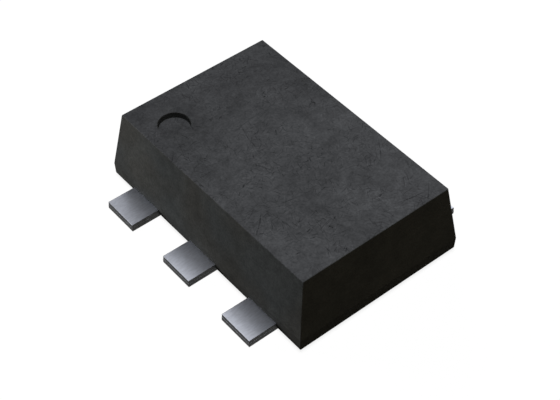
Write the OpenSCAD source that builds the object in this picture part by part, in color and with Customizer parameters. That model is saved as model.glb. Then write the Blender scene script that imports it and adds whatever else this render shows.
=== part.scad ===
// Step-down converter chip in a six-lead flat package.
// The flat leads run under the chip, which is soldered face down on them by copper pillars,
// and the moulded body is cast round all of it.
// +Z points up from the board, +Y along the two rows of leads and +X across them.
// The origin is on the board, under the middle of the body.

/* [Moulded body] */
// Length along the rows of leads, at the parting line
body_length = 1.6; // [1.33:0.01:1.92]
// Width across the rows of leads, at the parting line
body_width = 1.07; // [0.89:0.01:1.3]
// Height of the flat top above the board
package_height = 0.46; // [0.38:0.01:0.6]
// Height above the board of the line where the two mould halves meet
parting_height = 0.09; // [0.07:0.005:0.12]
// Air gap between the board and the body
standoff = 0.015; // [0.005:0.001:0.03]
// Slope of the walls above the parting line, in degrees
upper_draft = 8; // [4:0.5:12]
// Slope of the walls below the parting line, in degrees
lower_draft = 2; // [0:0.5:6]

/* [Pin 1 dimple] */
// Diameter at the top face
dimple_diameter = 0.18; // [0.1:0.01:0.22]
// Depth of the flat floor
dimple_depth = 0.035; // [0.01:0.005:0.045]
// Slope of the dimple's wall, in degrees
dimple_draft = 5; // [0:1:20]
// From the top face's long edge to the dimple's centre
dimple_from_side = 0.175; // [0.12:0.005:0.3]
// From the top face's short edge to the dimple's centre
dimple_from_end = 0.235; // [0.12:0.005:0.4]

/* [Leads] */
// Centre distance of neighbouring leads in a row
lead_pitch = 0.5; // [0.42:0.01:0.6]
// Width of a lead outside the body
lead_width = 0.225; // [0.19:0.005:0.27]
// Thickness of the lead frame
lead_thickness = 0.047; // [0.039:0.001:0.057]
// How far a lead stands out of the body
lead_reach = 0.175; // [0.1:0.005:0.3]
// How far a lead stays flat on the board under the body
foot_under_body = 0.1; // [0.05:0.005:0.12]
// How far the inner finger is raised above the foot
lead_upset = 0.08; // [0.065:0.005:0.1]
// Inside radius of the two bends
bend_radius = 0.02; // [0.016:0.001:0.03]
// Angle that each bend turns through
bend_angle = 60; // [50:1:70]

/* [Lead fingers] */
// Clear gap between two fingers, side by side or tip to tip
finger_gap = 0.1; // [0.06:0.005:0.12]
// Mould compound between the end fingers and the ends of the body
end_wall = 0.1; // [0.08:0.005:0.12]
// How far a finger runs on past its bend before it widens
shoulder_run = 0.01; // [0.005:0.001:0.02]
// Corner radius of a finger
finger_corner = 0.04; // [0.02:0.005:0.05]
// Radius of the half-round notches that lock a power finger in the mould
lock_notch_radius = 0.03; // [0.015:0.001:0.04]

/* [Chip and its joints] */
// Thickness of the silicon die
die_thickness = 0.15; // [0.1:0.01:0.18]
// From the outermost pillars' centres to the edge of the die
die_margin = 0.09; // [0.06:0.005:0.11]
// Diameter of a copper pillar
pillar_diameter = 0.07; // [0.05:0.001:0.08]
// Height of a copper pillar
pillar_height = 0.045; // [0.03:0.001:0.06]
// From the finger's shoulder or tip to the nearest pillar's centre
pillar_inset = 0.07; // [0.055:0.005:0.08]
// Distance across a power finger between its two rows of pillars
pillar_row_pitch = 0.15; // [0.12:0.005:0.18]
// Thickness of the solder between a pillar and its finger
solder_height = 0.02; // [0.01:0.001:0.03]
// How far the solder spreads past the pillar where it wets the finger
solder_spread = 0.006; // [0:0.001:0.008]

/* [Hidden] */
$fn = 48;
LEFT = -1;
RIGHT = 1;
// How far the dimple's cutter runs on above the face that it opens
CUT_MARGIN = 0.01;

// Name, side of the body, place in the row counted from the middle, and whether it carries power
LEADS = [
    ["lead_1_input", LEFT, 1, true],
    ["lead_2_switch", LEFT, 0, true],
    ["lead_3_ground", LEFT, -1, true],
    ["lead_4_boost", RIGHT, -1, false],
    ["lead_5_enable", RIGHT, 0, false],
    ["lead_6_feedback", RIGHT, 1, false],
];
LETTERS = ["a", "b", "c", "d"];

function name_of(lead) = lead[0];
function side_of(lead) = lead[1];
function place_of(lead) = lead[2];
function has_power(lead) = lead[3];
function number_of(lead) = search([name_of(lead)], LEADS)[0] + 1;

// The S-bend that lifts a finger off the board, measured along the middle of the metal
bend_mid_radius = bend_radius + lead_thickness / 2;
ramp_length = (lead_upset - 2 * bend_mid_radius * (1 - cos(bend_angle))) / sin(bend_angle);
ramp_run = 2 * bend_mid_radius * sin(bend_angle) + ramp_length * cos(bend_angle);

// Stations across the body, measured from its middle towards the lead's own side
lead_tip = body_width / 2 + lead_reach;
foot_end = body_width / 2 - foot_under_body;
bend_end = foot_end - ramp_run;
finger_shoulder = bend_end - shoulder_run;
outer_pillar = finger_shoulder - pillar_inset;
signal_finger_tip = outer_pillar - pillar_inset;
power_finger_tip = finger_gap - signal_finger_tip;
inner_pillar = power_finger_tip + pillar_inset;
strip_run = body_width;

function finger_tip(lead) = has_power(lead) ? power_finger_tip : signal_finger_tip;

// Edges of the fingers along the row: a middle finger is centred, an end finger stops short of the wall
middle_finger_width = lead_pitch - finger_gap;
end_finger_near = (lead_pitch + finger_gap) / 2;
end_finger_far = body_length / 2 - end_wall;
end_finger_width = end_finger_far - end_finger_near;
end_finger_centre = (end_finger_far + end_finger_near) / 2;

function finger_width(lead) = place_of(lead) == 0 ? middle_finger_width : end_finger_width;
function finger_centre(lead) = place_of(lead) * end_finger_centre;

// Heights above the board, each layer resting on the one below
finger_top = lead_upset + lead_thickness;
pillar_base = finger_top + solder_height;
die_base = pillar_base + pillar_height;

// The die reaches past its outermost pillars by the same margin all round
die_width = 2 * (outer_pillar + die_margin);
die_length = 2 * (end_finger_centre + pillar_row_pitch / 2 + die_margin);

// The flat top, inside the sloping walls
top_inset = (package_height - parting_height) * tan(upper_draft);
top_half_width = body_width / 2 - top_inset;
top_half_length = body_length / 2 - top_inset;

// Pillar centres on a lead as [across, along]; across is measured towards the lead's own side
function pillar_spots(lead) =
    has_power(lead)
        ? [for (x = [outer_pillar, inner_pillar], row = [1, -1])
            [x, finger_centre(lead) + row * pillar_row_pitch / 2]]
        : [[outer_pillar, finger_centre(lead)]];

// One name for each pillar spot on a lead, such as copper_pillar_1a
function spot_names(prefix, lead) =
    [for (i = [0:len(pillar_spots(lead)) - 1]) str(prefix, number_of(lead), LETTERS[i])];

// Side view of a block whose ends lean in by inset over its height
module leaning_section(base, height, inset) {
    polygon([
        [-base / 2, 0],
        [base / 2, 0],
        [base / 2 - inset, height],
        [-base / 2 + inset, height],
    ]);
}

// One half of the mould cavity: its four walls lean in by the draft as it rises from z = 0
module drafted_block(length, width, height, draft) {
    inset = height * tan(draft);
    intersection() {
        rotate([90, 0, 0])
            linear_extrude(height = length, center = true)
                leaning_section(width, height, inset);
        rotate([90, 0, 90])
            linear_extrude(height = width, center = true)
                leaning_section(length, height, inset);
    }
}

// Cutter for the round recess that marks pin 1
module pin_1_dimple() {
    floor_radius = dimple_diameter / 2 - dimple_depth * tan(dimple_draft);
    cut_height = dimple_depth + CUT_MARGIN;
    translate([
        dimple_from_side - top_half_width,
        top_half_length - dimple_from_end,
        package_height - dimple_depth,
    ])
        cylinder(h = cut_height, r1 = floor_radius, r2 = floor_radius + cut_height * tan(dimple_draft));
}

// The moulded body, with the place of every inner piece left open in it
module mould_body() {
    color("#3d3e40")
        difference() {
            translate([0, 0, parting_height]) {
                drafted_block(body_length, body_width, package_height - parting_height, upper_draft);
                mirror([0, 0, 1])
                    drafted_block(body_length, body_width, parting_height - standoff, lower_draft);
            }
            pin_1_dimple();
            silicon_die();
            for (lead = LEADS) {
                formed_lead(lead);
                for (spot = pillar_spots(lead)) {
                    copper_pillar(lead, spot);
                    solder_cap(lead, spot);
                }
            }
        }
}

// The metal of one bend: part of a ring, from one angle to another
module bend_section(from, to) {
    outside = bend_radius + lead_thickness;
    intersection() {
        difference() {
            circle(r = outside);
            circle(r = bend_radius);
        }
        polygon([
            [0, 0],
            2 * outside * [cos(from), sin(from)],
            2 * outside * [cos(to), sin(to)],
        ]);
    }
}

// Side view of the strip that a lead is cut from: the foot on the board, the S-bend and the raised
// finger. It runs on past both ends of any lead, and each part starts where the last one ends.
module strip_profile() {
    translate([foot_end, 0]) {
        square([strip_run, lead_thickness]);
        translate([0, lead_thickness + bend_radius]) {
            bend_section(270 - bend_angle, 270);
            rotate(-bend_angle) {
                translate([-ramp_length, -lead_thickness - bend_radius])
                    square([ramp_length, lead_thickness]);
                translate([-ramp_length, -lead_thickness - 2 * bend_radius])
                    rotate(bend_angle) {
                        bend_section(90 - bend_angle, 90);
                        translate([-strip_run, bend_radius])
                            square([strip_run, lead_thickness]);
                    }
            }
        }
    }
}

// A rectangle with round corners, from the origin
module round_plate(length, width, corner) {
    translate([corner, 0])
        square([length - 2 * corner, width]);
    translate([0, corner])
        square([length, width - 2 * corner]);
    for (x = [corner, length - corner], y = [corner, width - corner])
        translate([x, y])
            circle(r = corner);
}

// Top view of a lead: the straight foot and the wider finger, notched where it carries power
module lead_outline(lead) {
    tip = finger_tip(lead);
    width = finger_width(lead);
    centre = finger_centre(lead);
    foot_start = finger_shoulder - finger_corner;
    translate([foot_start, place_of(lead) * lead_pitch - lead_width / 2])
        square([lead_tip - foot_start, lead_width]);
    difference() {
        translate([tip, centre - width / 2])
            round_plate(finger_shoulder - tip, width, finger_corner);
        if (has_power(lead))
            for (edge = [-1, 1])
                translate([(outer_pillar + inner_pillar) / 2, centre + edge * width / 2])
                    circle(r = lock_notch_radius);
    }
}

// One lead, blanked to its outline and bent to its profile
module formed_lead(lead) {
    color("#8e919c")
        mirror([side_of(lead) == LEFT ? 1 : 0, 0, 0])
            intersection() {
                rotate([90, 0, 0])
                    linear_extrude(height = body_length, center = true)
                        strip_profile();
                linear_extrude(height = package_height)
                    lead_outline(lead);
            }
}

module silicon_die() {
    color("#5b5f6b")
        translate([-die_width / 2, -die_length / 2, die_base])
            cube([die_width, die_length, die_thickness]);
}

module copper_pillar(lead, spot) {
    color("#b87348")
        translate([side_of(lead) * spot.x, spot.y, pillar_base])
            cylinder(h = pillar_height, d = pillar_diameter);
}

// Solder between a pillar and its finger, wider where it wets the finger
module solder_cap(lead, spot) {
    pillar_radius = pillar_diameter / 2;
    color("#a9abb0")
        translate([side_of(lead) * spot.x, spot.y, finger_top])
            cylinder(h = solder_height, r1 = pillar_radius + solder_spread, r2 = pillar_radius);
}

mould_body();
silicon_die();
for (lead = LEADS) {
    formed_lead(lead);
    for (i = [0:len(pillar_spots(lead)) - 1]) {
        spot = pillar_spots(lead)[i];
        copper_pillar(lead, spot);
        solder_cap(lead, spot);
    }
}
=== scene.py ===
"""The looks of a step-down converter chip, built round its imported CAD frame.

The moulded block and the six formed leads are modelled here on the CAD's sizes. The die, its copper
pillars and their solder caps stay as the CAD made them, and only get their finishes. Modelling is done
in millimetres, and each finished piece is then brought to the frame's metres.
"""

import logging
import math
from contextlib import contextmanager
from dataclasses import dataclass
from enum import Enum
from typing import Callable, Iterator

import bmesh
import bpy
from mathutils import Matrix, Vector


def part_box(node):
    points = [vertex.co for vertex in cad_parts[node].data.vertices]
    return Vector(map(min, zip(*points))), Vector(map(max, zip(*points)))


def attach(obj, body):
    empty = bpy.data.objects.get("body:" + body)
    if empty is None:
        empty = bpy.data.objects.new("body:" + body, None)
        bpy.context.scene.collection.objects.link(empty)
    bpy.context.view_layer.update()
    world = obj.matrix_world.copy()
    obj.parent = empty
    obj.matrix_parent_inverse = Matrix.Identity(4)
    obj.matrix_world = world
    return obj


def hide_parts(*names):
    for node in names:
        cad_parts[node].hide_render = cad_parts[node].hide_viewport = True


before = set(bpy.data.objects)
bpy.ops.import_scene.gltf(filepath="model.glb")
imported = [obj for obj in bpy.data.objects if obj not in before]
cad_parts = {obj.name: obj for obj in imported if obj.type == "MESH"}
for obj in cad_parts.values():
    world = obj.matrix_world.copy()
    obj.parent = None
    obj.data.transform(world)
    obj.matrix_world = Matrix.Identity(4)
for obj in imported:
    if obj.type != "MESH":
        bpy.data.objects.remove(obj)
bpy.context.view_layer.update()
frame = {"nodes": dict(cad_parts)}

log = logging.getLogger("step_down_converter_chip")

MILLIMETRE = 0.001
WHITE = "#ffffff"
# Facets that meet at less than this, in degrees, are shaded as one curved surface
SMOOTH_BELOW = 20.0
# A face wider than this, in millimetres, is a flat of the piece and no strip of a curve
BROAD = 0.015
# A face or an edge points along an axis when this much of its unit direction does
ALONG = 0.9
# Places less than this apart, in millimetres, count as one
NEAR = 1e-5
# A Mix node's sockets for colours, by number because its sockets for other values have the same names
MIX_FIRST, MIX_SECOND, MIX_RESULT = 6, 7, 2

Face, Edge, Vertex = bmesh.types.BMFace, bmesh.types.BMEdge, bmesh.types.BMVert
Socket = bpy.types.NodeSocket
Tree = bpy.types.NodeTree


def linear(hex_colour: str) -> tuple[float, float, float, float]:
    """Turns an sRGB hex colour into the linear colour that a shader takes.

    Args:
        hex_colour: Six hex digits after a hash sign.

    Returns:
        Red, green, blue and an alpha of 1.
    """
    channels = [int(hex_colour[i:i + 2], 16) / 255 for i in (1, 3, 5)]
    return tuple(c / 12.92 if c <= 0.04045 else ((c + 0.055) / 1.055) ** 2.4 for c in channels) + (1.0,)


def wire(node: bpy.types.Node, inputs: dict[str | int, object]) -> None:
    """Sets inputs of a node.

    Args:
        node: The node.
        inputs: A value or another node's output for each input, by name or number.
    """
    for key, value in inputs.items():
        if isinstance(value, Socket):
            node.id_data.links.new(value, node.inputs[key])
        else:
            node.inputs[key].default_value = value


def add_node(
    tree: Tree, kind: str, inputs: dict | None = None, output: int | str = 0, **settings
) -> Socket:
    """Adds a shader node with its settings and links.

    Args:
        tree: The node tree that takes the node.
        kind: The node's type, without the word that they all start with.
        inputs: A value or another node's output for each input, by name or number.
        output: The output that is wanted.
        **settings: The node's own properties.

    Returns:
        The wanted output, or for a node without outputs its first input.
    """
    node = tree.nodes.new("ShaderNode" + kind)
    for name, value in settings.items():
        setattr(node, name, value)
    wire(node, inputs or {})
    return node.outputs[output] if len(node.outputs) else node.inputs[0]


def start_material(name: str) -> tuple[bpy.types.Material, Tree, bpy.types.Node]:
    """Starts a material.

    Args:
        name: The material's name.

    Returns:
        The material, its node tree and its Principled shader.
    """
    material = bpy.data.materials.new(name)
    material.use_nodes = True
    return material, material.node_tree, material.node_tree.nodes["Principled BSDF"]


def place_on_piece(
    tree: Tree, shares: tuple[float, float, float] = (1, 1, 1), turn: float = 0
) -> Socket:
    """Gives the place on a piece in its own coordinates, in millimetres.

    Args:
        tree: The material's node tree.
        shares: How much each axis counts. A pattern is drawn out along an axis that counts less.
        turn: How far a pattern is turned about the upright axis, in degrees.

    Returns:
        The place.
    """
    return add_node(tree, "Mapping", {
        "Vector": add_node(tree, "TexCoord", output="Object"),
        "Scale": [share / MILLIMETRE for share in shares],
        "Rotation": (0, 0, math.radians(turn)),
    })


def clear_selection() -> None:
    """Deselects every object, because the imported CAD nodes and each new primitive come selected."""
    bpy.ops.object.select_all(action="DESELECT")


def box_in_millimetres(node: str) -> tuple[Vector, Vector]:
    """Reads a CAD node's box.

    Args:
        node: The CAD node's name.

    Returns:
        Its lowest and highest corners, in millimetres.
    """
    low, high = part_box(node)
    return low / MILLIMETRE, high / MILLIMETRE


def middle_of(edge: Edge) -> Vector:
    """Gives an edge's middle."""
    return (edge.verts[0].co + edge.verts[1].co) / 2


def is_level(edge: Edge) -> bool:
    """Whether an edge lies level or nearly so."""
    return abs((edge.verts[1].co - edge.verts[0].co).normalized().z) < 1 - ALONG


def is_upright(edge: Edge) -> bool:
    """Whether an edge stands upright or nearly so."""
    return abs((edge.verts[1].co - edge.verts[0].co).normalized().z) > ALONG


class MeshPart(Enum):
    """What can be picked in edit mode, and where a mesh keeps it."""

    FACE = "faces"
    EDGE = "edges"
    VERT = "verts"


class Workpiece:
    """A piece on the bench: one mesh object in millimetres, shaped by Blender's own operators."""

    def __init__(self, name: str, obj: bpy.types.Object) -> None:
        """Takes a new object onto the bench under the piece's name."""
        self.obj = obj
        self.obj.name = self.obj.data.name = name

    @classmethod
    def block(cls, name: str, low: Vector, high: Vector) -> "Workpiece":
        """Starts a piece as a cube that fills a box.

        Args:
            name: The piece's name.
            low: The box's lowest corner.
            high: The box's highest corner.

        Returns:
            The piece, with its place in its mesh.
        """
        clear_selection()
        bpy.ops.mesh.primitive_cube_add(size=1, location=(low + high) / 2, scale=high - low)
        return cls(name, bpy.context.object).settle()

    @classmethod
    def cone(
        cls, name: str, foot: Vector, radii: tuple[float, float], height: float, sides: int
    ) -> "Workpiece":
        """Starts a piece as an upright cone frustum.

        Args:
            name: The piece's name.
            foot: The middle of its lower end.
            radii: The lower and the upper radius.
            height: Its height.
            sides: The number of its sides.

        Returns:
            The piece, with its place in its mesh.
        """
        clear_selection()
        middle = foot + Vector((0, 0, height / 2))
        bpy.ops.mesh.primitive_cone_add(
            vertices=sides, radius1=radii[0], radius2=radii[1], depth=height, location=middle
        )
        return cls(name, bpy.context.object).settle()

    def take(self) -> None:
        """Makes this the one selected and active object."""
        clear_selection()
        self.obj.select_set(True)
        bpy.context.view_layer.objects.active = self.obj

    def settle(self) -> "Workpiece":
        """Puts the object's place, turn and scale into its mesh.

        Returns:
            The piece itself.
        """
        self.take()
        bpy.ops.object.transform_apply(location=True, rotation=True, scale=True)
        return self

    @contextmanager
    def edit(self) -> Iterator[None]:
        """Opens the piece in edit mode with nothing selected, and closes it again."""
        self.take()
        bpy.ops.object.mode_set(mode="EDIT")
        bpy.ops.mesh.select_all(action="DESELECT")
        yield
        bpy.ops.object.mode_set(mode="OBJECT")

    def pick(self, kind: MeshPart, wanted: Callable[[Face | Edge | Vertex], bool]) -> None:
        """Selects, in edit mode, just the parts of one kind that pass a test.

        Args:
            kind: The kind of part.
            wanted: The test.
        """
        bpy.ops.mesh.select_mode(type=kind.name)
        bpy.ops.mesh.select_all(action="DESELECT")
        mesh = bmesh.from_edit_mesh(self.obj.data)
        mesh.normal_update()
        for part in getattr(mesh, kind.value):
            if wanted(part):
                part.select_set(True)
        bmesh.update_edit_mesh(self.obj.data)

    def cut_away(self, cutter: "Workpiece") -> None:
        """Cuts another piece's shape out of this one.

        Args:
            cutter: The other piece, which is used up.
        """
        self.take()
        cut = self.obj.modifiers.new("cut", "BOOLEAN")
        cut.object = cutter.obj
        cut.operation = "DIFFERENCE"
        cut.solver = "EXACT"
        bpy.ops.object.modifier_apply(modifier=cut.name)
        bpy.data.objects.remove(cutter.obj)

    def break_edges(self, width: float, segments: int, least_turn: float) -> None:
        """Rounds every edge at which the surface turns sharply.

        Args:
            width: Width that the rounding takes off each side.
            segments: Number of strips across the rounding.
            least_turn: Least turn that is rounded, in degrees.
        """
        self.take()
        rounding = self.obj.modifiers.new("rounding", "BEVEL")
        rounding.width = width
        rounding.segments = segments
        rounding.limit_method = "ANGLE"
        rounding.angle_limit = math.radians(least_turn)
        bpy.ops.object.modifier_apply(modifier=rounding.name)

    def copy(self, name: str, turn: float, move: Vector) -> "Workpiece":
        """Copies the piece, mesh and all, to another place.

        Args:
            name: The copy's name.
            turn: How far it turns about the upright axis, in degrees.
            move: How far it then moves.

        Returns:
            The copy, with its place in its mesh.
        """
        other = self.obj.copy()
        other.data = self.obj.data.copy()
        bpy.context.scene.collection.objects.link(other)
        other.rotation_euler.z = math.radians(turn)
        other.location = move
        return Workpiece(name, other).settle()

    def shade(self) -> None:
        """Shades the curves smooth and each broad face flat, so that no rounding bends its light."""
        self.take()
        bpy.ops.object.shade_smooth_by_angle(angle=math.radians(SMOOTH_BELOW))
        with self.edit():
            self.pick(MeshPart.FACE, lambda face: (
                face.calc_area() / max(edge.calc_length() for edge in face.edges) > BROAD
            ))
            bpy.ops.mesh.faces_shade_flat()

    def finish(self, slot: str, *nodes: str) -> bpy.types.Object:
        """Brings the piece to the frame's metres, hangs it under the root body and hides the CAD nodes
        that it stands for.

        Args:
            slot: The record's material slot for the piece's finish. It is not used.
            *nodes: The CAD nodes that it stands for.

        Returns:
            The finished object, at the origin.
        """
        self.shade()
        self.obj.scale = (MILLIMETRE,) * 3
        self.settle()
        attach(self.obj, "root")
        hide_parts(*nodes)
        faces = len(self.obj.data.polygons)
        log.info("%s stands for %s, %d faces", self.obj.name, ", ".join(nodes), faces)
        return self.obj


@dataclass(frozen=True)
class Patches:
    """Soft patches over a surface, which swing its tone or its roughness.

    The size is about that of a patch, in millimetres. The value goes from the lows to the highs where the
    noise goes through its core, and detail says how many finer layers ride on the noise.
    """

    size: float
    lows: float
    highs: float
    core: tuple[float, float] = (0.3, 0.7)
    detail: float = 2.0

    def draw(self, tree: Tree, place: Socket) -> tuple[Socket, Socket]:
        """Draws the patches.

        Args:
            tree: The material's node tree.
            place: Where on the surface, in millimetres.

        Returns:
            The bare noise, and the value that it swings.
        """
        noise = add_node(tree, "TexNoise", {
            "Vector": place, "Scale": 1 / self.size, "Detail": self.detail,
        })
        return noise, self.swing(tree, noise)

    def swing(self, tree: Tree, noise: Socket) -> Socket:
        """Turns a bare noise into a value between the lows and the highs.

        Args:
            tree: The material's node tree.
            noise: The bare noise.

        Returns:
            The value.
        """
        return add_node(tree, "MapRange", {
            "Value": noise, "From Min": self.core[0], "From Max": self.core[1],
            "To Min": self.lows, "To Max": self.highs,
        })


@dataclass(frozen=True)
class Scratches:
    """Short marks scattered over a flat face, each in a direction of its own. Sizes in millimetres."""

    spacing: float
    half_length: float
    half_width: float
    bow: float
    layers: int
    # The share of the places that stay bare
    bare: float
    # How far a mark lightens the tone, below 0 where it darkens it
    strength: float
    # A number that sets this scatter apart from another
    seed: float
    # The shares of the half width and the half length beyond which a mark fades
    core_width: float = 0.3
    core_length: float = 0.4
    # How far a layer lies from the last one along X, how much of that along Y, and its turn in radians
    layer_shift: float = 3.7
    shift_along_y: float = 1.4
    layer_turn: float = 0.6

    def draw(self, tree: Tree, place: Socket) -> Socket:
        """Draws the marks, several layers of them over each other.

        Args:
            tree: The material's node tree.
            place: Where on the surface, in millimetres.

        Returns:
            Up to the strength on a mark and 0 beside it.
        """
        total = None
        for layer in range(self.layers):
            shift = self.seed + self.layer_shift * layer
            line = self.draw_layer(tree, add_node(tree, "Mapping", {
                "Vector": place,
                "Location": (shift, self.shift_along_y * shift, 0),
                "Rotation": (0, 0, self.layer_turn * layer),
            }))
            total = line if total is None else add_node(
                tree, "Math", {0: total, 1: line}, operation="MAXIMUM"
            )
        return add_node(tree, "Math", {0: total, 1: self.strength}, operation="MULTIPLY")

    def draw_layer(self, tree: Tree, place: Socket) -> Socket:
        """Draws one layer of the marks.

        A cell pattern scatters points. Round each point a thin, slightly bowed line is drawn, turned by a
        random angle.

        Args:
            tree: The material's node tree.
            place: Where in the layer, in millimetres.

        Returns:
            Up to 1 on a mark and 0 beside it.
        """
        cells = add_node(
            tree, "TexVoronoi", {"Vector": place, "Scale": 1 / self.spacing}, voronoi_dimensions="2D"
        ).node
        chance = add_node(tree, "SeparateXYZ", {"Vector": cells.outputs["Color"]}).node
        offset = add_node(
            tree, "VectorMath", {0: place, 1: cells.outputs["Position"]}, operation="SUBTRACT"
        )
        angle = add_node(tree, "Math", {0: chance.outputs["X"], 1: math.tau}, operation="MULTIPLY")
        turned = add_node(
            tree, "VectorRotate", {"Vector": offset, "Angle": angle}, rotation_type="Z_AXIS"
        )
        parts = add_node(tree, "SeparateXYZ", {"Vector": turned}).node
        along, across = parts.outputs["X"], parts.outputs["Y"]
        bow = add_node(tree, "Math", {0: along, 1: along}, operation="MULTIPLY")
        bowed = add_node(tree, "Math", {0: bow, 1: self.bow, 2: across}, operation="MULTIPLY_ADD")
        line = add_node(tree, "MapRange", {
            "Value": chance.outputs["Y"], "From Min": self.bare, "From Max": 1.0,
        })
        limits = ((bowed, self.half_width, self.core_width), (along, self.half_length, self.core_length))
        for distance, reach, core in limits:
            near = add_node(tree, "Math", {0: distance}, operation="ABSOLUTE")
            fade = add_node(tree, "MapRange", {
                "Value": near, "From Min": reach * core, "From Max": reach, "To Min": 1.0, "To Max": 0.0,
            }, interpolation_type="SMOOTHSTEP")
            line = add_node(tree, "Math", {0: line, 1: fade}, operation="MULTIPLY")
        return line


@dataclass(frozen=True)
class MouldCompound:
    """Epoxy mould compound filled with silica, moulded in a spark-eroded cavity.

    To the eye it is a dull charcoal, with a fine grain off the cavity and faint clouds where resin and
    filler parted unevenly. A web of hair marks lies on the flat top, with a few longer scratches from
    handling. Its walls carry a film of mould release, patchy on the long ones. The end walls are painted
    a darker brown, as painted shade.
    """

    top_colour: str = "#414244"
    wall_colour: str = "#40403e"
    wall_cool_colour: str = "#3d3f3f"
    # Painted shade: the end walls are a darker brown than the long walls
    shaded_end_colour: str = "#35332c"
    # Filler leaves the surface dry, so it shines far less than bare resin
    specular: float = 0.02
    # Sizes on the surface, in millimetres, and how far each pattern darkens and lightens the colour. The
    # last is the grain. The real grain is about 0.005, and is drawn coarser to show
    patterns: tuple[tuple[float, float], ...] = ((0.5, 0.13), (0.16, 0.14), (0.05, 0.14), (0.012, 0.18))
    pattern_core: tuple[float, float] = (0.25, 0.75)
    # The grain swings the roughness, and is this deep in millimetres and this strong
    roughness: Patches = Patches(0.012, 0.7, 0.86, core=(0.25, 0.75))
    grain_depth: float = 0.0012
    grain_strength: float = 0.6
    webs: tuple[Scratches, ...] = (
        Scratches(0.044, 0.03, 0.0028, 3.0, 4, 0.1, strength=-0.35, seed=0.0),
        Scratches(0.046, 0.03, 0.0028, 3.0, 3, 0.1, strength=0.23, seed=11.0),
        Scratches(0.07, 0.018, 0.0045, 2.0, 2, 0.5, strength=-0.46, seed=22.0),
        Scratches(0.3, 0.13, 0.003, 0.6, 3, 0.3, strength=-0.4, seed=33.0),
    )
    # Where the marks are fainter and where they are stronger
    wear: Patches = Patches(1 / 7, 0.3, 1.3, core=(0.35, 0.6), detail=1.0)
    # Where the film leaves the long walls as they are, and where it turns them cooler
    film: Patches = Patches(1 / 3, 0.0, 1.0, core=(0.4, 0.6), detail=1.0)
    # Painted shade: the top darkens toward the dimple's end, where the light falls off, from here to here
    # along the body, down to this share
    painted_falloff: tuple[float, float, float] = (-0.05, 0.72, 0.78)
    # How far a face's normal points up where it starts to be top, and where it is all top
    top_facing: tuple[float, float] = (0.5, 0.95)
    # Only a wall that faces away from the middle, far out along the body, has a product over this of its
    # normal's Y and its place along the body
    end_wall_product: float = 0.7

    def cloud(self, tree: Tree, place: Socket) -> tuple[Socket, Socket]:
        """Draws the clouds and the grain.

        Args:
            tree: The material's node tree.
            place: Where on the surface, in millimetres.

        Returns:
            The bare grain, and the tone of all the patterns together.
        """
        shade = None
        for size, swing in self.patterns:
            noise, tone = Patches(size, 1 - swing, 1 + swing, self.pattern_core, 1.0).draw(tree, place)
            shade = tone if shade is None else add_node(
                tree, "Math", {0: shade, 1: tone}, operation="MULTIPLY"
            )
        return noise, shade

    def scratch(self, tree: Tree, place: Socket, on_top: Socket) -> Socket:
        """Draws the hair marks and the scratches.

        Args:
            tree: The material's node tree.
            place: Where on the surface, in millimetres.
            on_top: 1 on the top and 0 on the walls.

        Returns:
            How far they lighten the tone, below 0 where they darken it.
        """
        marks = None
        for scratches in self.webs:
            drawn = scratches.draw(tree, place)
            marks = drawn if marks is None else add_node(
                tree, "Math", {0: marks, 1: drawn}, operation="ADD"
            )
        _, wear = self.wear.draw(tree, place)
        marks = add_node(tree, "Math", {0: marks, 1: wear}, operation="MULTIPLY")
        return add_node(tree, "Math", {0: marks, 1: on_top}, operation="MULTIPLY")

    def colour_walls(self, tree: Tree, place: Socket, along: Socket, facing: Socket) -> Socket:
        """Gives the colour of the walls under their film, with painted shade on the end walls.

        Args:
            tree: The material's node tree.
            place: Where on the surface, in millimetres.
            along: The place along the body, in millimetres.
            facing: How far the surface faces along the body.

        Returns:
            The colour.
        """
        _, film = self.film.draw(tree, place)
        wall = add_node(tree, "Mix", {
            "Factor": film,
            MIX_FIRST: linear(self.wall_colour),
            MIX_SECOND: linear(self.wall_cool_colour),
        }, MIX_RESULT, data_type="RGBA")
        # Painted shade: the end walls take the darker brown colour
        on_end = add_node(tree, "Math", {0: facing, 1: along}, operation="MULTIPLY")
        on_end = add_node(tree, "Math", {0: on_end, 1: self.end_wall_product}, operation="GREATER_THAN")
        return add_node(tree, "Mix", {
            "Factor": on_end, MIX_FIRST: wall, MIX_SECOND: linear(self.shaded_end_colour),
        }, MIX_RESULT, data_type="RGBA")

    def material(self) -> bpy.types.Material:
        """Builds the material's nodes.

        Returns:
            The material.
        """
        material, tree, shader = start_material("silica_filled_epoxy_mould_compound")
        place = place_on_piece(tree)
        along = add_node(tree, "SeparateXYZ", {"Vector": place}, "Y")
        normal = add_node(tree, "TexCoord", output="Normal")
        facing = add_node(tree, "SeparateXYZ", {"Vector": normal}).node
        start, end = self.top_facing
        on_top = add_node(tree, "MapRange", {
            "Value": facing.outputs["Z"], "From Min": start, "From Max": end,
        })
        grain, shade = self.cloud(tree, place)
        marks = self.scratch(tree, place, on_top)
        shade = add_node(tree, "Math", {0: marks, 1: shade, 2: shade}, operation="MULTIPLY_ADD")
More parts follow.
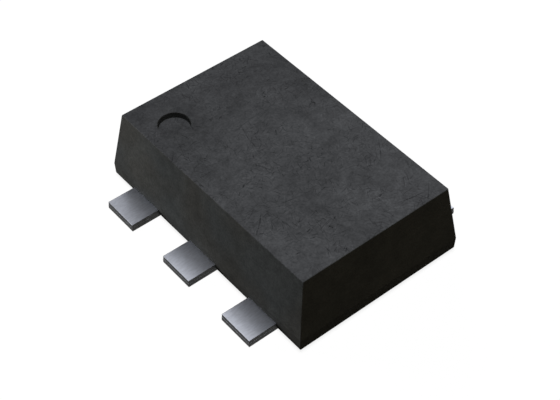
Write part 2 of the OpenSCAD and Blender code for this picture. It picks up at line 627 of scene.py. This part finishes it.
        # Painted shade: the top's tone is darkened toward the dimple's end, in place of the light falling
        # off there
        start, end, share = self.painted_falloff
        deep = add_node(tree, "MapRange", {
            "Value": along, "From Min": start, "From Max": end, "To Min": 0.0, "To Max": 1 - share,
        }, interpolation_type="SMOOTHSTEP")
        deep = add_node(tree, "Math", {0: deep, 1: on_top}, operation="MULTIPLY")
        kept = add_node(tree, "Math", {0: 1.0, 1: deep}, operation="SUBTRACT")
        shade = add_node(tree, "Math", {0: shade, 1: kept}, operation="MULTIPLY")
        walls = self.colour_walls(tree, place, along, facing.outputs["Y"])
        colour = add_node(tree, "Mix", {
            "Factor": on_top, MIX_FIRST: walls, MIX_SECOND: linear(self.top_colour),
        }, MIX_RESULT, data_type="RGBA")
        wire(shader, {
            "Base Color": add_node(tree, "VectorMath", {0: colour, "Scale": shade}, operation="SCALE"),
            "Roughness": self.roughness.swing(tree, grain),
            "Normal": add_node(tree, "Bump", {
                "Height": grain,
                "Distance": self.grain_depth * MILLIMETRE,
                "Strength": self.grain_strength,
            }),
            "Specular IOR Level": self.specular,
        })
        return material


@dataclass(frozen=True)
class MatteTin:
    """Matte tin, electroplated over the copper lead frame.

    To the eye it is a soft blue-grey metal with no mirror image in it and a crystal grain too fine to
    feel. Faint marks from the strip's rolling run along the leads under it.
    """

    colour: str = "#d8dce8"
    # The grain swings the roughness. Tin crystals are about 0.003 mm, drawn coarser to show
    grain: Patches = Patches(0.012, 0.29, 0.31)
    haze: Patches = Patches(1 / 14, 0.97, 1.03)
    # Rolling marks are under 0.003 mm apart, drawn coarser to show
    marks: Patches = Patches(0.009, 0.92, 1.08)
    # How much the way along a lead counts, so that the marks are drawn out along it
    marks_along: float = 0.3

    def material(self) -> bpy.types.Material:
        """Builds the material's nodes.

        Returns:
            The material.
        """
        material, tree, shader = start_material("electroplated_matte_tin")
        place = place_on_piece(tree)
        _, roughness = self.grain.draw(tree, place)
        _, haze = self.haze.draw(tree, place)
        _, marks = self.marks.draw(tree, place_on_piece(tree, (self.marks_along, 1, 1)))
        shade = add_node(tree, "Math", {0: haze, 1: marks}, operation="MULTIPLY")
        wire(shader, {
            "Base Color": add_node(
                tree, "VectorMath", {0: linear(self.colour)[:3], "Scale": shade}, operation="SCALE"
            ),
            "Roughness": roughness,
            "Metallic": 1.0,
        })
        return material


@dataclass(frozen=True)
class PlainMetal:
    """A metal with a grain over one colour.

    Plated copper is salmon with a satin grain, reflowed solder is a brighter grey, smooth from melting,
    and the rolled copper of the fingers is a duller salmon.
    """

    name: str
    colour: str
    roughness: float
    grain_size: float
    # What the grain makes of the tone, from its lows to its highs
    tones: tuple[float, float] = (0.85, 1.1)
    # How much each axis counts in the grain, and how far it is turned, in degrees
    shares: tuple[float, float, float] = (1, 1, 1)
    turn: float = 0
    metallic: float = 1.0
    # How deep the grain is, in millimetres, and how strongly it shows
    depth: float = 0.001
    strength: float = 0

    def material(self) -> bpy.types.Material:
        """Builds the material's nodes.

        Returns:
            The material.
        """
        material, tree, shader = start_material(self.name)
        place = place_on_piece(tree, self.shares, self.turn)
        grain, shade = Patches(self.grain_size, *self.tones).draw(tree, place)
        wire(shader, {
            "Base Color": add_node(
                tree, "VectorMath", {0: linear(self.colour)[:3], "Scale": shade}, operation="SCALE"
            ),
            "Metallic": self.metallic,
            "Roughness": self.roughness,
        })
        if self.strength:
            wire(shader, {"Normal": add_node(tree, "Bump", {
                "Height": grain, "Distance": self.depth * MILLIMETRE, "Strength": self.strength,
            })})
        return material


@dataclass(frozen=True)
class ShearedEdge(PlainMetal):
    """The edge that a trim die leaves on a copper alloy lead, dulled by air.

    To the eye it is dark, rough and brownish grey, with fine upright streaks where the die dragged.
    """

    name: str = "sheared_copper_alloy_edge"
    colour: str = "#343433"
    roughness: float = 0.6
    grain_size: float = 0.0125
    tones: tuple[float, float] = (0.7, 1.35)
    shares: tuple[float, float, float] = (1, 1, 0.12)
    strength: float = 0.6


@dataclass(frozen=True)
class GroundSilicon(PlainMetal):
    """Silicon, ground thin on its back and sawn from the wafer.

    To the eye it is a dark blue-grey semi-metal, glossy, with fine parallel grinding marks.
    """

    name: str = "ground_silicon"
    colour: str = "#5b5f6b"
    roughness: float = 0.25
    # Grinding marks are under 0.001 mm apart, drawn coarser to show
    grain_size: float = 0.01
    tones: tuple[float, float] = (0.85, 1.15)
    shares: tuple[float, float, float] = (1, 0.06, 1)
    turn: float = 25
    metallic: float = 0.6


@dataclass
class MouldedBlock:
    """The moulded body: two drafted halves, the pin 1 dimple, and the slots that the feet lie in."""

    finish: MouldCompound
    parting_height: float = 0.09
    upper_draft: float = 8.0
    lower_draft: float = 2.0
    dimple_diameter: float = 0.18
    dimple_depth: float = 0.035
    dimple_draft: float = 5.0
    dimple_from_side: float = 0.175
    dimple_from_end: float = 0.235
    dimple_facets: int = 96
    # The middle of a rim facet lies less than this inside the rim's circle
    facet_sag: float = 0.001
    # The cavity's own sharp edges come out rounded by a few thousandths of a millimetre
    edge_break: float = 0.004
    rim_break: float = 0.002

    def lean_in(self, piece: Workpiece, upwards: int, height: float, draft: float, half: Vector) -> None:
        """Draws in one end of the block, so that its walls lean by the draft.

        Args:
            piece: The block, in edit mode.
            upwards: 1 for the top and -1 for the bottom.
            height: Height of that half of the block.
            draft: The walls' lean, in degrees.
            half: Half the block's size at the parting line.
        """
        inset = height * math.tan(math.radians(draft))
        piece.pick(MeshPart.FACE, lambda face: face.normal.z * upwards > ALONG)
        bpy.ops.transform.resize(
            value=(1 - inset / half.x, 1 - inset / half.y, 1), center_override=(0, 0, 0)
        )

    def cut_dimple(self, piece: Workpiece, high: Vector) -> None:
        """Cuts the round pin 1 dimple and takes the sharpness off its rim.

        Args:
            piece: The block.
            high: The highest corner of the block's box.
        """
        inset = (high.z - self.parting_height) * math.tan(math.radians(self.upper_draft))
        floor = Vector((
            self.dimple_from_side - (high.x - inset),
            (high.y - inset) - self.dimple_from_end,
            high.z - self.dimple_depth,
        ))
        slope = math.tan(math.radians(self.dimple_draft))
        reach = self.dimple_diameter / 2
        floor_radius = reach - self.dimple_depth * slope
        # The cutter stands as far over the top as it goes in
        height = self.dimple_depth * 2
        radii = (floor_radius, floor_radius + height * slope)
        piece.cut_away(Workpiece.cone("dimple_cutter", floor, radii, height, self.dimple_facets))
        centre = Vector((floor.x, floor.y, 0))

        def on_rim(edge: Edge) -> bool:
            """Whether an edge is part of the dimple's rim.

            Args:
                edge: The edge.

            Returns:
                True on the rim.
            """
            middle = middle_of(edge)
            across = (Vector((middle.x, middle.y, 0)) - centre).length
            on_top = abs(middle.z - high.z) < NEAR and is_level(edge)
            return on_top and abs(across - reach) < self.facet_sag

        with piece.edit():
            piece.pick(MeshPart.EDGE, on_rim)
            bpy.ops.mesh.bevel(offset=self.rim_break, segments=2, affect="EDGES")

    def cut_slots(self, piece: Workpiece, frame_sizes: "FormedLead") -> None:
        """Cuts the slot that each foot lies in.

        Args:
            piece: The block.
            frame_sizes: The leads' sizes.
        """
        slot_end, half = frame_sizes.slot_end, frame_sizes.width / 2
        for side in (-1, 1):
            start, end = sorted((side * slot_end, side * frame_sizes.tip))
            for row_place in (-1, 0, 1):
                y = row_place * frame_sizes.pitch
                piece.cut_away(Workpiece.block(
                    "slot_cutter",
                    Vector((start, y - half, -frame_sizes.thickness)),
                    Vector((end, y + half, frame_sizes.thickness)),
                ))

    def build(self, frame_sizes: "FormedLead") -> bpy.types.Object:
        """Models the block on the CAD body's box.

        Args:
            frame_sizes: The leads' sizes.

        Returns:
            The finished piece.
        """
        low, high = box_in_millimetres("mould_body")
        piece = Workpiece.block("moulded_block", low, high)
        with piece.edit():
            bpy.ops.mesh.select_all(action="SELECT")
            bpy.ops.mesh.bisect(plane_co=(0, 0, self.parting_height), plane_no=(0, 0, 1))
            self.lean_in(piece, 1, high.z - self.parting_height, self.upper_draft, high)
            self.lean_in(piece, -1, self.parting_height - low.z, self.lower_draft, high)
        piece.break_edges(self.edge_break, segments=3, least_turn=30)
        self.cut_dimple(piece, high)
        self.cut_slots(piece, frame_sizes)
        piece.obj.data.materials.append(self.finish.material())
        return piece.finish("mould_compound", "mould_body")


class Duty(Enum):
    """What a lead carries, which sets how far its finger reaches under the die."""

    POWER = "power"
    SIGNAL = "signal"


@dataclass
class FormedLead:
    """The sizes of a lead: flat foot, S-bend and raised finger, along +X from the body's middle."""

    tin: MatteTin
    edge: ShearedEdge
    copper: PlainMetal
    pitch: float = 0.5
    width: float = 0.225
    thickness: float = 0.047
    tip: float = 0.71
    foot_end: float = 0.435
    upset: float = 0.08
    bend_radius: float = 0.02
    bend_angle: float = 60.0
    shoulder_run: float = 0.01
    pillar_inset: float = 0.07
    finger_gap: float = 0.1
    finger_width: float = 0.4
    finger_corner: float = 0.04
    notch_radius: float = 0.03
    notch_facets: int = 32
    # Tall enough for the notch to go through the raised finger
    notch_cut: float = 0.2
    # Strips across a bend, and across a rounded corner of the finger
    curve_steps: int = 6
    # A cut face stands proud below the height at which the metal tore, by a step on the sides and the tip
    shear_height: float = 0.026
    side_step: float = 0.0006
    tip_step: float = 0.0018
    ledge_rise: float = 0.00015
    # The ledge starts this far out from the bend, hidden in the slot
    ledge_start: float = 0.06
    # Faces whose middle is farther out from the bend than this are the flat foot's
    bend_margin: float = 0.02
    # A face is a wall of the foot, or a steep strip of its rounding, when its normal rises less than this
    wall_rise: float = 0.5
    edge_break: float = 0.002

    @property
    def slot_end(self) -> float:
        """Where the foot's underside, bending up, passes into the body."""
        low, _ = box_in_millimetres("mould_body")
        outer = self.bend_radius + self.thickness
        return self.foot_end - math.sqrt(outer ** 2 - (outer - low.z) ** 2)

    @property
    def ramp(self) -> Vector:
        """The straight run between the two bends."""
        turn = math.radians(self.bend_angle)
        middle = self.bend_radius + self.thickness / 2
        length = (self.upset - 2 * middle * (1 - math.cos(turn))) / math.sin(turn)
        return Vector((-math.cos(turn), 0, math.sin(turn))) * length

    @property
    def bend_end(self) -> float:
        """Where the second bend ends."""
        middle = self.bend_radius + self.thickness / 2
        return self.foot_end + self.ramp.x - 2 * middle * math.sin(math.radians(self.bend_angle))

    @property
    def shoulder(self) -> float:
        """Where the finger widens."""
        return self.bend_end - self.shoulder_run

    def finger_tip(self, duty: Duty) -> float:
        """Where a finger of that duty ends: a power finger runs on to the gap before the signal one."""
        signal = self.shoulder - 2 * self.pillar_inset
        return signal if duty is Duty.SIGNAL else self.finger_gap - signal

    def bend_up(self, piece: Workpiece, finger_tip: float) -> None:
        """Draws the foot's inner end through the S-bend and on to the finger's tip.

        Args:
            piece: The lead, in edit mode.
            finger_tip: Where the finger ends.
        """
        turn = math.radians(self.bend_angle)
        piece.pick(MeshPart.FACE, lambda face: face.normal.x < -ALONG)
        bpy.ops.mesh.spin(
            steps=self.curve_steps, angle=-turn, axis=(0, 1, 0),
            center=(self.foot_end, 0, self.thickness + self.bend_radius),
        )
        bpy.ops.mesh.extrude_region_move(TRANSFORM_OT_translate={"value": self.ramp})
        bpy.ops.mesh.spin(
            steps=self.curve_steps, angle=turn, axis=(0, 1, 0),
            center=(self.bend_end, 0, self.upset - self.bend_radius),
        )
        for run in (-self.shoulder_run, finger_tip - self.shoulder):
            bpy.ops.mesh.extrude_region_move(TRANSFORM_OT_translate={"value": (run, 0, 0)})

    def widen_finger(self, piece: Workpiece) -> None:
        """Draws the finger's two sides out, and rounds its four corners.

        Args:
            piece: The lead, in edit mode.
        """
        side = self.finger_width / 2
        for way in (-1, 1):
            piece.pick(MeshPart.FACE, lambda face: (
                face.calc_center_median().x < self.shoulder and face.normal.y * way > ALONG
            ))
            bpy.ops.mesh.extrude_region_move(
                TRANSFORM_OT_translate={"value": (0, way * (self.finger_width - self.width) / 2, 0)}
            )
        piece.pick(MeshPart.EDGE, lambda edge: (
            is_upright(edge) and abs(abs(middle_of(edge).y) - side) < NEAR
        ))
        bpy.ops.mesh.bevel(offset=self.finger_corner, segments=self.curve_steps, affect="EDGES")

    def shear_sides(self, piece: Workpiece) -> None:
        """Leaves the ledge that shearing makes round the foot's outer end.

        Args:
            piece: The lead, in edit mode.
        """
        start = self.foot_end + self.ledge_start
        corner = self.tip - 2 * self.edge_break
        piece.pick(MeshPart.FACE, lambda face: (
            face.calc_center_median().x > self.foot_end + self.bend_margin
        ))
        bpy.ops.mesh.bisect(plane_co=(start, 0, 0), plane_no=(1, 0, 0), threshold=NEAR)
        for height in (self.shear_height, self.shear_height + self.ledge_rise):
            piece.pick(MeshPart.FACE, lambda face: (
                face.calc_center_median().x > start and abs(face.normal.z) < self.wall_rise
            ))
            bpy.ops.mesh.bisect(plane_co=(0, 0, height), plane_no=(0, 0, 1), threshold=NEAR)
        line = self.shear_height + self.ledge_rise / 2
        for way in (-1, 1):
            piece.pick(MeshPart.VERT, lambda vertex: (
                vertex.co.z > line and vertex.co.x > start - NEAR and vertex.co.y * way > 0
            ))
            bpy.ops.transform.translate(value=(0, -way * self.side_step, 0))
        piece.pick(MeshPart.VERT, lambda vertex: vertex.co.z > line and vertex.co.x > corner)
        bpy.ops.transform.translate(value=(-self.tip_step, 0, 0))

    def shape(self, duty: Duty) -> Workpiece:
        """Models one lead on the right side, at the middle of the row.

        Args:
            duty: What the lead carries.

        Returns:
            The lead, not yet finished.
        """
        piece = Workpiece.block(
            f"{duty.value}_lead", Vector((self.foot_end, -self.width / 2, 0)),
            Vector((self.tip, self.width / 2, self.thickness)),
        )
        with piece.edit():
            self.bend_up(piece, self.finger_tip(duty))
            self.widen_finger(piece)
        if duty is Duty.POWER:
            middle = (self.shoulder + self.finger_tip(duty)) / 2
            for way in (-1, 1):
                foot = Vector((middle, way * self.finger_width / 2, 0))
                radii = (self.notch_radius,) * 2
                piece.cut_away(
                    Workpiece.cone("notch_cutter", foot, radii, self.notch_cut, self.notch_facets)
                )
        piece.break_edges(self.edge_break, segments=2, least_turn=50)
        with piece.edit():
            self.shear_sides(piece)
        return piece


class LeadPlace(Enum):
    """The six leads: the CAD node, the side of the body, the place in the row and the duty."""

    ONE = ("lead_1_input", -1, 1, Duty.POWER)
    TWO = ("lead_2_switch", -1, 0, Duty.POWER)
    THREE = ("lead_3_ground", -1, -1, Duty.POWER)
    FOUR = ("lead_4_boost", 1, -1, Duty.SIGNAL)
    FIVE = ("lead_5_enable", 1, 0, Duty.SIGNAL)
    SIX = ("lead_6_feedback", 1, 1, Duty.SIGNAL)


class Skin(Enum):
    """The surfaces of a lead, in the order of its material slots."""

    TINNED = 0
    CUT = 1
    BARE = 2


@dataclass
class LeadFrame:
    """The six formed leads, two shapes copied to their places."""

    sizes: FormedLead
    # A face is tinned when its normal rises at least this much. The tin keeps the tip's upper edge, and
    # the rounding of the side edges takes the dark cut metal as painted shade
    tip_tilt: float = 0.9
    side_tilt: float = 0.95

    def paint(self, mesh: bpy.types.Mesh) -> None:
        """Tells the tinned, the cut and the bare faces apart, by their place and the way they face.

        Args:
            mesh: A lead's mesh, at its place.
        """
        covered = self.sizes.slot_end
        for face in mesh.polygons:
            # Painted shade: a side edge's rounding takes the dark cut metal more readily than the tip's
            least_tilt = self.side_tilt if abs(face.normal.y) > abs(face.normal.x) else self.tip_tilt
            if abs(face.center.x) < covered:
                skin = Skin.BARE
            elif abs(face.normal.z) < least_tilt:
                skin = Skin.CUT
            else:
                skin = Skin.TINNED
            face.material_index = skin.value

    def build(self) -> list[bpy.types.Object]:
        """Models the two shapes and copies them to the six places.

        Returns:
            The finished pieces.
        """
        shapes = {duty: self.sizes.shape(duty) for duty in Duty}
        skins = {Skin.TINNED: self.sizes.tin, Skin.CUT: self.sizes.edge, Skin.BARE: self.sizes.copper}
        materials = [skins[skin].material() for skin in Skin]
        leads = []
        for number, place in enumerate(LeadPlace, 1):
            node, side, row_place, duty = place.value
            turn = 0 if side > 0 else 180
            move = Vector((0, row_place * self.sizes.pitch, 0))
            lead = shapes[duty].copy(f"formed_lead_{number}", turn, move)
            for material in materials:
                lead.obj.data.materials.append(material)
            self.paint(lead.obj.data)
            leads.append(lead.finish("tinned_lead", node))
        for shape in shapes.values():
            bpy.data.objects.remove(shape.obj)
        return leads


@dataclass
class FlipChip:
    """The die, its copper pillars and their solder caps, kept as the CAD made them."""

    silicon: GroundSilicon
    pillar: PlainMetal
    solder: PlainMetal

    def dress(self, nodes: dict[str, bpy.types.Object]) -> None:
        """Gives each kept CAD node its finish.

        Args:
            nodes: The CAD nodes by name.
        """
        finishes = {"silicon_die": self.silicon, "copper_pillar": self.pillar, "solder_cap": self.solder}
        for start, finish in finishes.items():
            material = finish.material()
            found = [name for name in nodes if name.startswith(start)]
            for name in found:
                mesh_slots = nodes[name].material_slots
                if mesh_slots:
                    for mesh_slot in mesh_slots:
                        mesh_slot.material = material
                else:
                    nodes[name].data.materials.append(material)
            log.info("%s on %d CAD nodes", material.name, len(found))


@dataclass(frozen=True)
class Panel:
    """A rectangular lamp. Its light is what a white surface that faces it at its aim shows."""

    name: str
    place: tuple[float, float, float]
    aim: tuple[float, float, float]
    size: tuple[float, float]
    light: float


@dataclass
class Studio:
    """A pale floor, soft light, and the camera at the photograph's angle. Sizes in millimetres."""

    panels: tuple[Panel, ...] = (
        Panel("left_panel", (-3.1, 3.1, 0.52), (-0.5, 0.5, 0.25), (1.6, 0.8), 0.75),
        Panel("right_panel", (3.6, 3.4, 0.6), (0.5, 0.5, 0.25), (1.6, 0.8), 0.6),
    )
    overhead_light: float = 1.0
    # Narrow enough that the steep walls catch no more of it than their lean gives them
    overhead_spread: float = 16.0

    floor_size: float = 400.0
    # The share of the floor's white that no shadow darkens
    floor_glow: float = 0.88
    # What the floor gives to the dull surfaces
    floor_bounce: str = "#4b453b"

    # A grey card beyond the dimple's end, that only the metal mirrors: its ends along X and place along Y
    card_ends: tuple[float, float] = (-1.0, 1.6)
    card_back: float = 1.5
    card_height: float = 2.0
    card_grey: float = 0.45

    camera_place: tuple[float, float, float] = (-3.2416, -3.9197, 5.5586)
    # The picture's right and up, and the way back to the camera
    camera_right: tuple[float, float, float] = (0.77124, -0.63653, 0.00007)
    camera_up: tuple[float, float, float] = (0.46626, 0.56501, 0.68072)
    camera_back: tuple[float, float, float] = (-0.43334, -0.52497, 0.73255)
    lens: float = 89.08
    sensor_width: float = 36.0
    # The nearest and the farthest that the camera sees
    camera_range: tuple[float, float] = (0.1, 1000.0)

    def seen_plainly(self, tree: Tree) -> Socket:
        """Tells the rays that show the background from those that light the dull surfaces.

        Args:
            tree: The node tree that asks.

        Returns:
            1 for rays from the camera, off a gloss and through glass, and 0 for the others.
        """
        path = add_node(tree, "LightPath").node
        seen = path.outputs["Is Camera Ray"]
        for kind in ("Is Glossy Ray", "Is Transmission Ray"):
            seen = add_node(tree, "Math", {0: seen, 1: path.outputs[kind]}, operation="MAXIMUM")
        return seen

    def lay_floor(self) -> None:
        """Lays the white floor that the feet stand on."""
        clear_selection()
        bpy.ops.mesh.primitive_plane_add(size=self.floor_size * MILLIMETRE)
        floor = bpy.context.object
        floor.name = "floor"
        material, tree, _ = start_material("matte_white_paper")
        tree.nodes.clear()
        seen = self.seen_plainly(tree)
        colour = add_node(tree, "Mix", {
            "Factor": seen,
            MIX_FIRST: linear(self.floor_bounce),
            MIX_SECOND: linear(WHITE),
        }, MIX_RESULT, data_type="RGBA")
        paper = add_node(tree, "BsdfDiffuse", {"Color": colour})
        glow = add_node(tree, "Emission", {"Color": linear(WHITE), "Strength": 1.0})
        share = add_node(tree, "Math", {0: seen, 1: self.floor_glow}, operation="MULTIPLY")
        surface = add_node(tree, "MixShader", {0: share, 1: paper, 2: glow})
        add_node(tree, "OutputMaterial", {"Surface": surface})
        floor.data.materials.append(material)

    def fill_room(self) -> None:
        """Makes the room white to see, with no light on the dull surfaces."""
        world = bpy.data.worlds.new("white_room")
        bpy.context.scene.world = world
        world.use_nodes = True
        tree = world.node_tree
        tree.nodes.clear()
        seen = self.seen_plainly(tree)
        room = add_node(tree, "Background", {"Color": linear(WHITE), "Strength": seen})
        add_node(tree, "OutputWorld", {"Surface": room})

    def hang_lamps(self) -> None:
        """Hangs the overhead light, and the panels at the power that gives their aim the light listed."""
        clear_selection()
        bpy.ops.object.light_add(type="SUN")
        overhead = bpy.context.object
        overhead.name = "overhead_light"
        overhead.visible_glossy = False
        # A white surface shows the light that falls on it over pi
        overhead.data.energy = self.overhead_light * math.pi
        overhead.data.angle = math.radians(self.overhead_spread)
        for panel in self.panels:
            clear_selection()
            place, aim = Vector(panel.place) * MILLIMETRE, Vector(panel.aim) * MILLIMETRE
            bpy.ops.object.light_add(type="AREA", location=place)
            lamp = bpy.context.object
            lamp.name = panel.name
            lamp.rotation_euler = (place - aim).to_track_quat("Z", "Y").to_euler()
            lamp.data.shape = "RECTANGLE"
            lamp.data.size, lamp.data.size_y = (side * MILLIMETRE for side in panel.size)
            # A flat lamp's power over pi and its distance squared falls on what it faces
            lamp.data.energy = panel.light * math.pi ** 2 * (place - aim).length_squared
            lamp.visible_camera = False

    def stand_card(self) -> None:
        """Stands the grey card on the floor, upright along X."""
        left, right = self.card_ends
        middle = Vector(((left + right) / 2, self.card_back, self.card_height / 2)) * MILLIMETRE
        clear_selection()
        bpy.ops.mesh.primitive_plane_add(
            size=MILLIMETRE, location=middle, rotation=(math.radians(90), 0, 0)
        )
        card = bpy.context.object
        card.name = "grey_card"
        card.scale = (right - left, self.card_height, 1)
        bpy.ops.object.transform_apply(location=True, rotation=True, scale=True)
        material, tree, _ = start_material("grey_card")
        tree.nodes.clear()
        glow = add_node(tree, "Emission", {"Color": linear(WHITE), "Strength": self.card_grey})
        add_node(tree, "OutputMaterial", {"Surface": glow})
        card.data.materials.append(material)
        card.visible_camera = card.visible_diffuse = False
        card.visible_shadow = card.visible_transmission = False

    def place_camera(self) -> None:
        """Places the camera as the photograph's was."""
        clear_selection()
        bpy.ops.object.camera_add(location=Vector(self.camera_place) * MILLIMETRE)
        camera = bpy.context.object
        turned = Matrix((self.camera_right, self.camera_up, self.camera_back)).transposed()
        camera.rotation_euler = turned.to_euler()
        camera.data.sensor_width = self.sensor_width
        camera.data.lens = self.lens
        camera.data.clip_start, camera.data.clip_end = (end * MILLIMETRE for end in self.camera_range)
        bpy.context.scene.camera = camera

    def build(self) -> None:
        """Sets up the whole studio."""
        bpy.context.scene.view_settings.view_transform = "Standard"
        self.lay_floor()
        self.fill_room()
        self.hang_lamps()
        self.stand_card()
        self.place_camera()
        log.info("studio ready")


def main() -> None:
    """Builds the chip's looks and the studio, in order."""
    logging.basicConfig(level=logging.INFO, format="%(name)s: %(message)s")
    copper = PlainMetal("rolled_copper_alloy", "#b5714c", roughness=0.4, grain_size=0.02)
    lead = FormedLead(MatteTin(), ShearedEdge(), copper)
    MouldedBlock(MouldCompound()).build(lead)
    LeadFrame(lead).build()
    FlipChip(
        GroundSilicon(),
        PlainMetal("plated_copper", "#b87348", roughness=0.35, grain_size=0.01),
        PlainMetal("reflowed_solder", "#a9abb0", roughness=0.3, grain_size=0.015),
    ).dress(frame["nodes"])
    Studio().build()


if __name__ == "__main__":
    main()
